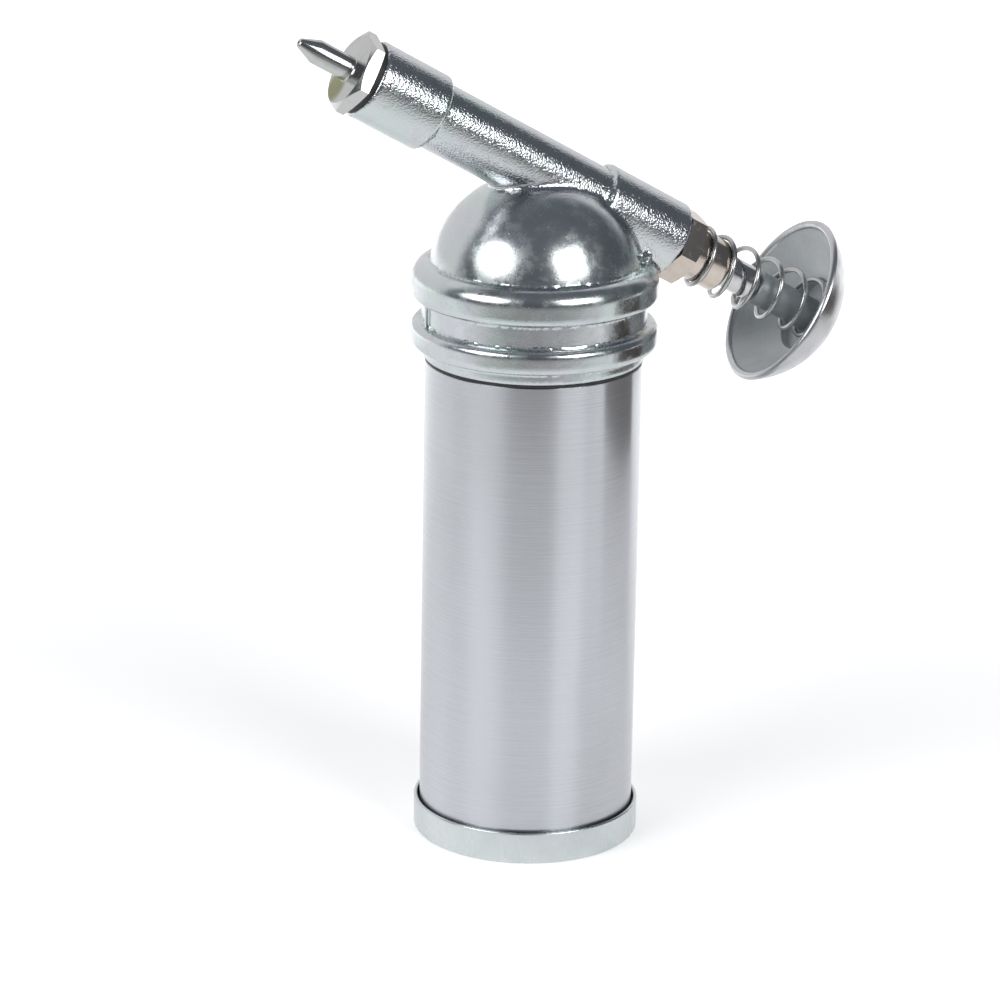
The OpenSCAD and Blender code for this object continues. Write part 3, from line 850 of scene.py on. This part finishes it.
@dataclass
class PumpHead(SubAssembly):
    """The die casting with collar, dome and slanted barrel, and the thread on its spigot."""

    spigot_r: float = 17.4
    spigot_low: float = 79.7
    spigot_edge: float = 0.4
    hollow_r: float = 14.5
    skirt_r: float = 19.3
    skirt_low: float = 87.5
    skirt_edge: float = 0.3
    bead_r: float = 21.5
    lower_bead: tuple[float, float] = (89.7, 94.0)
    upper_bead: tuple[float, float] = (98.2, 104.5)
    bead_round: float = 1.2
    top_round: float = 2.8
    groove_r: float = 19.6
    dome_r: float = 18.6
    dome_z: float = 101.3
    dome_hollow_r: float = 12.2
    rear: float = -28.5925
    rear_step: float = -12.0
    front_step: float = 22.5
    front: float = 36.0
    end_r: float = 7.0
    mid_r: float = 6.0
    shoulder: float = 0.5
    rod_bore_r: float = 3.08
    packing_floor: float = -17.6925
    gland_socket_r: float = 4.75
    pump_end: float = 7.758
    passage_r: float = 1.6
    seat: float = 22.664
    chamber_r: float = 3.2
    nozzle_socket: float = 28.85
    nozzle_socket_r: float = 5.0
    inlet_at: float = -9.642
    inlet_r: float = 1.6
    inlet_l: float = 5.5
    pad_at: float = 5.8
    pad_l: float = 7.0
    pad_w: float = 4.4
    pad_h: float = 0.4
    thread_pitch: float = 1.5
    thread_depth: float = 0.6
    thread_turns: int = 4
    thread_land: float = 0.3
    flash_at: tuple[float, float, float] = (18.2, -6.7, 105.3)
    flash_r: float = 0.65
    seam_w: float = 0.8
    seam_h: float = 0.5
    voxel: float = 0.4
    fillet: float = 2.2
    past: float = 1.0

    def build(self) -> None:
        """Makes the casting."""
        self.fit(self.casting(), "head_casting", "head", "casting", CASTING)

    def casting(self) -> Piece:
        """Skins the collar, dome, barrel and pad into one casting, then drills it.

        Returns:
            The casting.
        """
        piece = self.collar()
        Bench.pick(piece, self.barrel(), self.pad(), self.flash(), self.seam(1), self.seam(-1))
        bpy.ops.object.join()
        bpy.ops.object.duplicate()
        pattern = bpy.context.object
        Bench.modify(piece, "REMESH", mode="VOXEL", voxel_size=self.voxel, use_smooth_shade=True)
        Bench.modify(piece, "SHRINKWRAP", target=pattern, wrap_method="NEAREST_SURFACEPOINT")
        bpy.data.objects.remove(pattern)
        group = self.junction(piece)
        Bench.modify(piece, "SMOOTH", vertex_group=group, factor=0.5, iterations=24)
        for tool in (self.hollow(), self.bores(), self.inlet(), self.thread()):
            Bench.cut(piece, tool)
        return Bench.finish(piece, Matrix.Identity(4), 40.0)

    def collar(self) -> Piece:
        """Spigot, skirt, two beads and dome, turned in one."""
        low, high = self.lower_bead, self.upper_bead
        soft, top = self.bead_round, self.top_round
        outline = Outline((0.0, self.spigot_low), (self.spigot_r - self.spigot_edge, self.spigot_low))
        outline.to((self.spigot_r, self.spigot_low + self.spigot_edge), (self.spigot_r, self.skirt_low))
        outline.to((self.skirt_r - self.skirt_edge, self.skirt_low))
        outline.to((self.skirt_r, self.skirt_low + self.skirt_edge))
        outline.to((self.skirt_r, low[0])).arc((self.bead_r - soft, low[0] + soft), soft, -90, 0)
        outline.arc((self.bead_r - soft, low[1] - soft), soft, 0, 90)
        outline.to((self.groove_r, low[1]), (self.groove_r, high[0]))
        outline.arc((self.bead_r - soft, high[0] + soft), soft, -90, 0)
        outline.arc((self.bead_r - top, high[1] - top), top, 0, 90, 12)
        rise = math.degrees(math.asin((high[1] - self.dome_z) / self.dome_r))
        outline.arc((0.0, self.dome_z), self.dome_r, rise, 90, 48)
        return Bench.turn("cast_pump_head", outline, 256)

    def barrel(self) -> Piece:
        """Barrel with thick ends, turned and laid on its slope."""
        soft, end = self.shoulder, self.end_r
        outline = Outline((0.0, self.rear)).arc((end - soft, self.rear + soft), soft, -90, 0)
        outline.arc((end - soft, self.rear_step - soft), soft, 0, 90).to((self.mid_r, self.rear_step))
        outline.to((self.mid_r, self.front_step)).arc((end - soft, self.front_step + soft), soft, -90, 0)
        outline.arc((end - soft, self.front - soft), soft, 0, 90).to((0.0, self.front))
        piece = Bench.turn("barrel_blank", outline, 160)
        return Bench.move(piece, LAYOUT.barrel())

    def pad(self) -> Piece:
        """Low cast pad on top of the barrel."""
        rise = self.mid_r / 2 + self.pad_h
        place = Matrix.Translation((self.mid_r / 2 + self.pad_h / 2, 0.0, self.pad_at))
        piece = Bench.block(place, (rise, self.pad_w, self.pad_l))
        Bench.modify(piece, "BEVEL", width=self.pad_h, segments=3, limit_method="ANGLE")
        return Bench.move(piece, LAYOUT.barrel())

    def flash(self) -> Piece:
        """Lump of casting flash where the barrel's rear end runs into the collar."""
        Bench.clear()
        bpy.ops.mesh.primitive_ico_sphere_add(subdivisions=4, radius=self.flash_r)
        piece = bpy.context.object
        return Bench.move(piece, Matrix.Translation(self.flash_at))

    def seam(self, side: int) -> Piece:
        """Parting line of the two die halves across the groove, on the left (-1) or right (1)."""
        low, high = self.lower_bead[1] - self.past, self.upper_bead[0] + self.past
        place = Matrix.Translation((side * self.groove_r, 0.0, (low + high) / 2))
        return Bench.block(place, (2 * self.seam_h, self.seam_w, high - low))

    def thread(self) -> Piece:
        """Helical cutter for the thread on the spigot.

        Returns:
            The cutter, as a closed mesh.
        """
        half = (self.thread_pitch - self.thread_land) / 2
        outer, root = self.spigot_r + self.thread_land, self.spigot_r - self.thread_depth
        start = self.spigot_low - half
        corners = [(outer, start - half), (root, start), (outer, start + half), (outer, start - half)]
        piece = Bench.chain("thread_cutter", (Vector((reach, 0.0, height)) for reach, height in corners))
        Bench.modify(
            piece, "SCREW", screw_offset=self.thread_pitch, iterations=self.thread_turns, steps=72,
            render_steps=72, use_merge_vertices=True,
        )
        bpy.ops.object.mode_set(mode="EDIT")
        bpy.ops.mesh.select_all(action="SELECT")
        bpy.ops.mesh.remove_doubles(threshold=1e-4)
        bpy.ops.mesh.fill_holes(sides=0)
        Bench.heal()
        return piece

    def junction(self, piece: Piece) -> str:
        """Marks the inner corner where the barrel meets the dome and the collar.

        Args:
            piece: The casting.

        Returns:
            Name of the vertex group whose weight is 1 along the corner.
        """
        group = piece.vertex_groups.new(name="junction")
        centre, into_barrel = Vector((0.0, 0.0, self.dome_z)), LAYOUT.barrel().inverted()
        for vertex in piece.data.vertices:
            local = into_barrel @ vertex.co
            thick = local.z < self.rear_step or local.z > self.front_step
            off_barrel = abs(math.hypot(local.x, local.y) - (self.end_r if thick else self.mid_r))
            off_dome = abs((vertex.co - centre).length - self.dome_r)
            off_bead = max(self.upper_bead[0] - vertex.co.z, vertex.co.z - self.upper_bead[1], 0.0)
            off = max(off_barrel, min(off_dome, off_bead))
            if off < self.fillet and self.rear < local.z < self.front_step:
                group.add([vertex.index], 1.0 - off / self.fillet, "REPLACE")
        return group.name

    def hollow(self) -> Piece:
        """Grease space inside the spigot and the dome."""
        outline = Outline((0.0, self.spigot_low - self.past), (self.hollow_r, self.spigot_low - self.past))
        outline.to((self.hollow_r, self.upper_bead[0]))
        outline.arc((0.0, self.dome_z), self.dome_hollow_r, 0, 90, 24)
        return Bench.turn("hollow", outline, 96)

    def bores(self) -> Piece:
        """Bores along the barrel from the gland nut's socket to the nozzle's."""
        cone_end = self.seat + self.chamber_r - self.passage_r
        outline = Outline((0.0, self.rear - self.past), (self.gland_socket_r, self.rear - self.past))
        outline.to((self.gland_socket_r, self.packing_floor), (self.rod_bore_r, self.packing_floor))
        outline.to((self.rod_bore_r, self.pump_end), (self.passage_r, self.pump_end))
        outline.to((self.passage_r, self.seat), (self.chamber_r, cone_end))
        outline.to((self.chamber_r, self.nozzle_socket), (self.nozzle_socket_r, self.nozzle_socket))
        outline.to((self.nozzle_socket_r, self.front + self.past), (0.0, self.front + self.past))
        piece = Bench.turn("bores", outline, 64)
        return Bench.move(piece, LAYOUT.barrel())

    def inlet(self) -> Piece:
        """Port from the dome's hollow to the pump bore."""
        Bench.clear()
        bpy.ops.mesh.primitive_cylinder_add(vertices=32, radius=self.inlet_r, depth=self.inlet_l)
        piece = bpy.context.object
        aside = Matrix.Rotation(math.radians(-90.0), 4, "Y")
        middle = Matrix.Translation((0, 0, self.inlet_l / 2))
        return Bench.move(piece, LAYOUT.barrel(self.inlet_at) @ aside @ middle)


@dataclass
class Outlet(SubAssembly):
    """Needle nozzle and the spring of the check valve behind it."""

    shank_end: float = 28.9
    shank_r: float = 4.9
    shank_edge: float = 0.4
    hex_at: float = 36.9
    hex_face: float = 39.4
    across: float = 13.0
    hex_turn: float = 16.0
    hex_under: float = 0.25
    needle_r: float = 2.15
    needle_root: float = 0.35
    cone_at: float = 46.2
    tip: float = 49.6
    tip_r: float = 0.75
    spring_hole: float = 32.9
    spring_hole_r: float = 2.1
    feed_r: float = 1.0
    outlet_r: float = 0.25
    outlet_deep: float = 2.6
    coil_at: float = 26.533
    coil_d: float = 3.4
    coil_wire: float = 0.4
    coil_l: float = 6.317
    coil_turns: float = 6.0
    coil_end_rise: float = 0.432
    coil_keep: float = 0.842
    face_share: float = 0.96

    def build(self) -> None:
        """Makes the outlet's pieces."""
        self.fit(self.nozzle(), "nozzle", "head", "steel", NOZZLE)
        coil = self.fit(self.coil(), "check_spring", "head", "spring", WIRE)
        anchor = LAYOUT.point(self.spring_hole) * MM
        LAYOUT.axis
        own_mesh(coil)

    def nozzle(self) -> Piece:
        """Turned nozzle with a drilled needle, then six flats milled on its collar."""
        corner, face, drop = Bench.hexagon(self.across, self.face_share)
        root, edge = self.needle_root, self.shank_edge
        outline = Outline((self.spring_hole_r, self.shank_end), (self.shank_r - edge, self.shank_end))
        outline.to((self.shank_r, self.shank_end + edge), (self.shank_r, self.hex_at))
        outline.to((face, self.hex_at), (corner, self.hex_at + self.hex_under))
        outline.to((corner, self.hex_face - drop), (face, self.hex_face))
        outline.arc((self.needle_r + root, self.hex_face + root), root, 270, 180, 5)
        outline.to((self.needle_r, self.cone_at), (self.tip_r + 0.08, self.tip - 0.12))
        outline.to((self.tip_r - 0.06, self.tip), (self.outlet_r, self.tip))
        outline.to((self.outlet_r, self.cone_at), (self.feed_r, self.cone_at))
        outline.to((self.feed_r, self.spring_hole), (self.spring_hole_r, self.spring_hole)).close()
        piece = Bench.turn("turned_nozzle", outline, 120)
        Bench.mill_flats(piece, self.across, self.hex_turn)
        return Bench.finish(piece, LAYOUT.barrel(), 24.0)

    def coil(self) -> Piece:
        """Spring between the check ball and the nozzle."""
        piece = Coil(
            "check_coil", self.coil_d, self.coil_wire, self.coil_l, self.coil_turns, self.coil_end_rise,
            steps=28,
        ).build()
        return Bench.finish(piece, LAYOUT.barrel(self.coil_at))


@dataclass
class Plunger(SubAssembly):
    """Gland nut, plunger rod, return spring and palm button."""

    rod_r: float = 3.0
    bore_r: float = 3.08
    rod_tip: float = -11.742
    rod_end: float = -46.3925
    rod_edge: float = 0.3
    rod_round: float = 0.5
    stem_end: float = -47.5925
    neck_r: float = 2.3
    tang_r: float = 2.0
    tang_l: float = 6.0
    gland_at: float = -28.5925
    gland_face: float = -32.5925
    boss_end: float = -39.7925
    boss_r: float = 4.6
    boss_edge: float = 0.4
    shank_end: float = -20.5925
    shank_r: float = 4.65
    across: float = 12.0
    hex_turn: float = 22.0
    face_share: float = 0.96
    hex_under: float = 0.2
    coil_d: float = 10.3
    coil_wire: float = 0.9
    coil_l: float = 28.4
    coil_end_rise: float = 3.0
    coil_gap: float = 0.05
    coil_turns: float = 6.2
    coil_lean: float = 1.2
    coil_keep: float = 0.3684
    seat_at: float = -61.0925
    seat_r: float = 6.95
    floor: float = -60.7925
    rim: float = -53.8925
    button_r: float = 15.5
    button_rise: float = 9.4
    button_lip: float = 1.5
    socket_r: float = 2.1
    socket_gap: float = 0.05
    stem_foot: float = 0.6
    stem_edge: float = 0.2

    def build(self) -> None:
        """Makes the plunger's pieces."""
        self.fit(self.gland_nut(), "gland_nut", "head", "nickel", GLAND)
        self.fit(self.rod(), "plunger_rod", "plunger", "steel", ROD)
        self.fit(self.button(), "palm_button", "plunger", "button", BUTTON, BUTTON_INSIDE, STEM)
        coil = self.fit(self.coil(), "return_spring", "head", "spring", WIRE)
        anchor = LAYOUT.point(self.gland_face) * MM
        LAYOUT.axis
        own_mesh(coil)

    def gland_nut(self) -> Piece:
        """Turned nut with a round boss, then six flats milled on its collar."""
        corner, face, drop = Bench.hexagon(self.across, self.face_share)
        outline = Outline((self.bore_r, self.boss_end)).to((self.boss_r - self.boss_edge, self.boss_end))
        outline.arc((self.boss_r - self.boss_edge, self.boss_end + self.boss_edge), self.boss_edge, -90, 0, 5)
        outline.to((self.boss_r, self.gland_face), (face, self.gland_face), (corner, self.gland_face + drop))
        outline.to((corner, self.gland_at - self.hex_under), (face, self.gland_at))
        outline.to((self.shank_r, self.gland_at), (self.shank_r, self.shank_end))
        outline.to((self.bore_r, self.shank_end)).close()
        piece = Bench.turn("turned_gland_nut", outline, 120)
        Bench.mill_flats(piece, self.across, self.hex_turn)
        return Bench.finish(piece, LAYOUT.barrel(), 24.0)

    def rod(self) -> Piece:
        """Ground rod with a neck and a tang at its button end."""
        outline = Outline((0.0, self.stem_end - self.tang_l), (self.tang_r, self.stem_end - self.tang_l))
        outline.to((self.tang_r, self.stem_end), (self.neck_r, self.stem_end), (self.neck_r, self.rod_end))
        outline.to((self.rod_r - self.rod_edge, self.rod_end), (self.rod_r, self.rod_end + self.rod_edge))
        soft = self.rod_round
        outline.arc((self.rod_r - soft, self.rod_tip - soft), soft, 0, 90, 5).to((0.0, self.rod_tip))
        piece = Bench.turn("ground_rod", outline, 96)
        return Bench.finish(piece, LAYOUT.barrel())

    def button(self) -> Piece:
        """Mushroom button with a rounded lip, a spring seat and a bored stem.

        Returns:
            The button, with its outside, inside and stem as three finishes.
        """
        outer = (self.button_r**2 + self.button_rise**2) / (2 * self.button_rise)
        hollow, mouth = self.rim - self.floor, self.button_r - self.button_lip
        inner = (mouth**2 + hollow**2) / (2 * hollow)
        middle = self.rim - self.button_rise + outer
        inside = self.floor + inner
        outer_edge = -math.degrees(math.asin((middle - self.rim) / outer))
        inner_edge = -math.degrees(math.asin((inside - self.rim) / inner))
        inner_seat = -math.degrees(math.acos(self.seat_r / inner))
        lip = self.button_lip / 2
        outline = Outline().arc((0.0, middle), outer, -90, outer_edge, 40)
        outline.arc((self.button_r - lip, self.rim), lip, 0, 180, 10)
        outline.arc((0.0, inside), inner, inner_edge, inner_seat, 30)
        foot, edge = self.stem_foot, self.stem_edge
        outline.to((self.seat_r, self.seat_at), (self.rod_r + foot, self.seat_at))
        outline.to((self.rod_r, self.seat_at + foot), (self.rod_r, self.stem_end - edge))
        outline.to((self.rod_r - edge, self.stem_end), (self.socket_r, self.stem_end))
        socket_end = self.stem_end - self.tang_l - self.socket_gap
        outline.to((self.socket_r, socket_end), (0.0, socket_end))
        piece = Bench.turn("cast_palm_button", outline, 192)
        self.share_out(piece, middle, outer)
        return Bench.finish(piece, LAYOUT.barrel())

    def share_out(self, piece: Piece, middle: float, outer: float) -> None:
        """Gives the button's faces to its outside, inside and stem.

        Args:
            piece: The button, on +Z.
            middle: Height of the centre of the outside.
            outer: Radius of the outside.
        """
        while len(piece.data.materials) < 3:
            piece.data.materials.append(None)
        for face in piece.data.polygons:
            across = math.hypot(face.center.x, face.center.y)
            outside = abs(math.hypot(across, face.center.z - middle) - outer) < 0.1
            if outside or face.center.z > self.rim and across > self.seat_r:
                face.material_index = 0
            else:
                face.material_index = 2 if across < self.rod_r + 0.05 else 1

    def coil(self) -> Piece:
        """Return spring from the gland nut to the button's seat."""
        spring = Coil(
            "return_coil", self.coil_d, self.coil_wire, self.coil_l, self.coil_turns, self.coil_end_rise,
            180.0, self.coil_lean, self.gland_face - self.boss_end,
        )
        piece = spring.build()
        about = Matrix.Rotation(math.pi, 4, "X")
        return Bench.finish(piece, LAYOUT.barrel(self.gland_face - self.coil_gap) @ about)


@dataclass(frozen=True)
class InnerParts:
    """Solids that keep their own mesh and only take a finish."""

    finishes: tuple[tuple[str, Finish], ...] = (
        ("follower_piston", PLASTIC),
        ("follower_seal", RUBBER),
        ("collar_gasket", RUBBER),
        ("nozzle_washer", RUBBER),
        ("rod_seal", RUBBER),
        ("check_ball", ROD),
    )

    def dress(self, nodes: dict[str, Piece]) -> None:
        """Gives each solid its finish.

        Args:
            nodes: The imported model's solids by name.
        """
        for name, finish in self.finishes:
            solid = nodes[name]
            solid.data.materials.clear()
            solid.data.materials.append(finish.material())
            LOG.info("%s keeps its solid", name)


class LampShape(Enum):
    """Outline of a softbox."""

    SQUARE = "RECTANGLE"
    ROUND = "ELLIPSE"


@dataclass(frozen=True)
class Softbox:
    """A broad lamp that looks at the object from this direction."""

    name: str
    azimuth: float
    elevation: float
    width: float
    height: float
    radiance: float
    shape: LampShape = LampShape.SQUARE
    distance: float = 900.0

    @property
    def area(self) -> float:
        """Glowing area, in square metres."""
        whole = self.width * self.height * MM**2
        return whole * math.pi / 4 if self.shape is LampShape.ROUND else whole


@dataclass(frozen=True)
class Studio:
    """Camera, lamps, floor and surroundings."""

    target: tuple[float, float, float] = (0.0, 0.0, 70.0)
    azimuth: float = -20.676
    elevation: float = 17.485
    distance: float = 778.87
    focal: float = 4.443745
    pan: float = 0.39736
    tilt: float = -0.64378
    roll: float = -1.11439
    sensor: float = 36.0
    floor_size: float = 4000.0
    floor_colour: Colour = (0.90, 0.90, 0.895, 1.0)
    edge_colour: Colour = (0.34, 0.33, 0.32, 1.0)
    edge: tuple[float, float] = (-310.0, -240.0)
    floor_glow: float = 0.36
    near: tuple[float, float] = (-200.0, -80.0)
    far_glow: float = 0.80
    far: tuple[float, float] = (20.0, 480.0)
    room_level: float = 0.13
    behind_level: float = 0.80
    above_level: float = 0.05
    board_at: tuple[float, float] = (240.0, -43.0)
    board_wide: float = 214.0
    board_high: float = 70.0
    board_colour: Colour = (0.040, 0.024, 0.015, 1.0)
    softboxes: tuple[Softbox, ...] = (
        Softbox("left_softbox", -70.0, 30.0, 660.0, 520.0, 4.6, LampShape.ROUND),
        Softbox("right_softbox", 22.0, 28.0, 460.0, 430.0, 6.3),
    )

    def build(self) -> None:
        """Sets up the whole stage."""
        scene = bpy.context.scene
        scene.view_settings.view_transform = "Standard"
        self.camera(scene)
        for softbox in self.softboxes:
            self.lamp(softbox)
        self.floor()
        self.board()
        self.surroundings(scene)

    @staticmethod
    def direction(azimuth: float, elevation: float) -> Vector:
        """Direction of a bearing from the front, positive towards +X."""
        bearing, height = math.radians(azimuth), math.radians(elevation)
        level = math.cos(height)
        return Vector((math.sin(bearing) * level, -math.cos(bearing) * level, math.sin(height)))

    def camera(self, scene: bpy.types.Scene) -> None:
        """Places the camera at the photograph's viewing angle.

        Args:
            scene: The scene that it films.
        """
        back = self.direction(self.azimuth, self.elevation)
        ahead = -back
        right = ahead.cross(Vector((0, 0, 1))).normalized()
        up = right.cross(ahead)
        pan, tilt = math.radians(self.pan), math.radians(self.tilt)
        aim = Matrix.Rotation(pan, 3, up) @ Matrix.Rotation(tilt, 3, right)
        ahead, right, up = aim @ ahead, aim @ right, aim @ up
        lean = Matrix.Rotation(math.radians(self.roll), 3, ahead)
        right, up = lean @ right, lean @ up
        camera = bpy.data.objects.new("camera", bpy.data.cameras.new("camera"))
        camera.data.sensor_width = self.sensor
        camera.data.lens = self.sensor * self.focal
        camera.data.clip_start, camera.data.clip_end = 0.01, 50.0
        place = Matrix((right, up, -ahead)).transposed().to_4x4()
        place.translation = (Vector(self.target) + back * self.distance) * MM
        camera.matrix_world = place
        scene.collection.objects.link(camera)
        scene.camera = camera

    def lamp(self, softbox: Softbox) -> None:
        """Hangs one softbox.

        Args:
            softbox: Its place, size and brightness.
        """
        light = bpy.data.lights.new(softbox.name, "AREA")
        light.shape = softbox.shape.value
        light.size, light.size_y = softbox.width * MM, softbox.height * MM
        light.energy = softbox.radiance * math.pi * softbox.area
        lamp = bpy.data.objects.new(softbox.name, light)
        away = self.direction(softbox.azimuth, softbox.elevation)
        place = away.to_track_quat("Z", "Y").to_matrix().to_4x4()
        place.translation = (Vector(self.target) + away * softbox.distance) * MM
        lamp.matrix_world = place
        lamp.visible_camera = False
        bpy.context.scene.collection.objects.link(lamp)

    def floor(self) -> None:
        """Lays the white floor, which keeps the object's shadow and ends in grey nearer than the picture."""
        Bench.clear()
        bpy.ops.mesh.primitive_plane_add(size=self.floor_size * MM)
        floor = bpy.context.object
        floor.name = "floor"
        material = bpy.data.materials.new("white_floor")
        graph = Graph(material)
        rays = graph.node("LightPath")
        seen = Value(graph, rays.outputs["Is Camera Ray"])
        for kind in ("Is Glossy Ray", "Is Transmission Ray"):
            seen = graph.maths("MAXIMUM", seen, Value(graph, rays.outputs[kind]))
        behind = graph.along(-self.direction(self.azimuth, 0.0))
        lift = behind.window(*self.near) * self.floor_glow + behind.window(*self.far) * self.far_glow
        colour = graph.blend(behind.window(*self.edge), self.edge_colour, self.floor_colour)
        paint = graph.value("BsdfDiffuse", sockets={"Color": colour})
        glow = graph.value("Emission", sockets={"Color": (1, 1, 1, 1), "Strength": seen * lift})
        both = graph.value("AddShader", sockets={0: paint, 1: glow})
        graph.node("OutputMaterial", sockets={"Surface": both})
        floor.data.materials.append(material)

    def board(self) -> None:
        """Stands a brown board out of the picture on the right, for the metal to mirror."""
        Bench.clear()
        bpy.ops.mesh.primitive_plane_add(size=1.0)
        board = bpy.context.object
        board.name = "brown_board"
        upright = Matrix.Rotation(math.radians(90.0), 4, "Y")
        place = Matrix.Translation((*self.board_at, self.board_high / 2)) @ upright
        size = Matrix.Diagonal((self.board_high, self.board_wide, 1.0, 1.0))
        Bench.move(board, Matrix.Scale(MM, 4) @ place @ size)
        material = bpy.data.materials.new("brown_board")
        Graph(material).surface({"Base Color": self.board_colour, "Roughness": 0.7})
        board.data.materials.append(material)
        board.visible_camera = False

    def surroundings(self, scene: bpy.types.Scene) -> None:
        """Paints a studio that is pale behind the object and darker in front and above.

        Args:
            scene: The scene that gets the world.
        """
        world = bpy.data.worlds.new("studio")
        scene.world = world
        graph = Graph(world)
        view = graph.value("TexCoord", output="Generated")
        parts = graph.node("SeparateXYZ", sockets={0: view})
        behind = Value(graph, parts.outputs["Y"]).window(0.28, 0.46)
        above = Value(graph, parts.outputs["Z"]).window(0.35, 0.95)
        level = self.room_level + behind * self.behind_level + above * self.above_level
        tint = graph.blend(behind, (0.86, 0.93, 1.06, 1.0), (1.0, 0.985, 1.0, 1.0))
        shade = graph.value("Background", sockets={"Color": tint, "Strength": level})
        graph.node("OutputWorld", sockets={"Surface": shade})


def main() -> None:
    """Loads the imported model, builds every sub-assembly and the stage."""
    logging.basicConfig(level=logging.INFO, format="%(name)s: %(message)s")
    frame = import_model()
    Container().build()
    PumpHead().build()
    Outlet().build()
    Plunger().build()
    InnerParts().dress(frame["nodes"])
    Studio().build()
    bpy.context.view_layer.update()


if __name__ == "__main__":
    main()
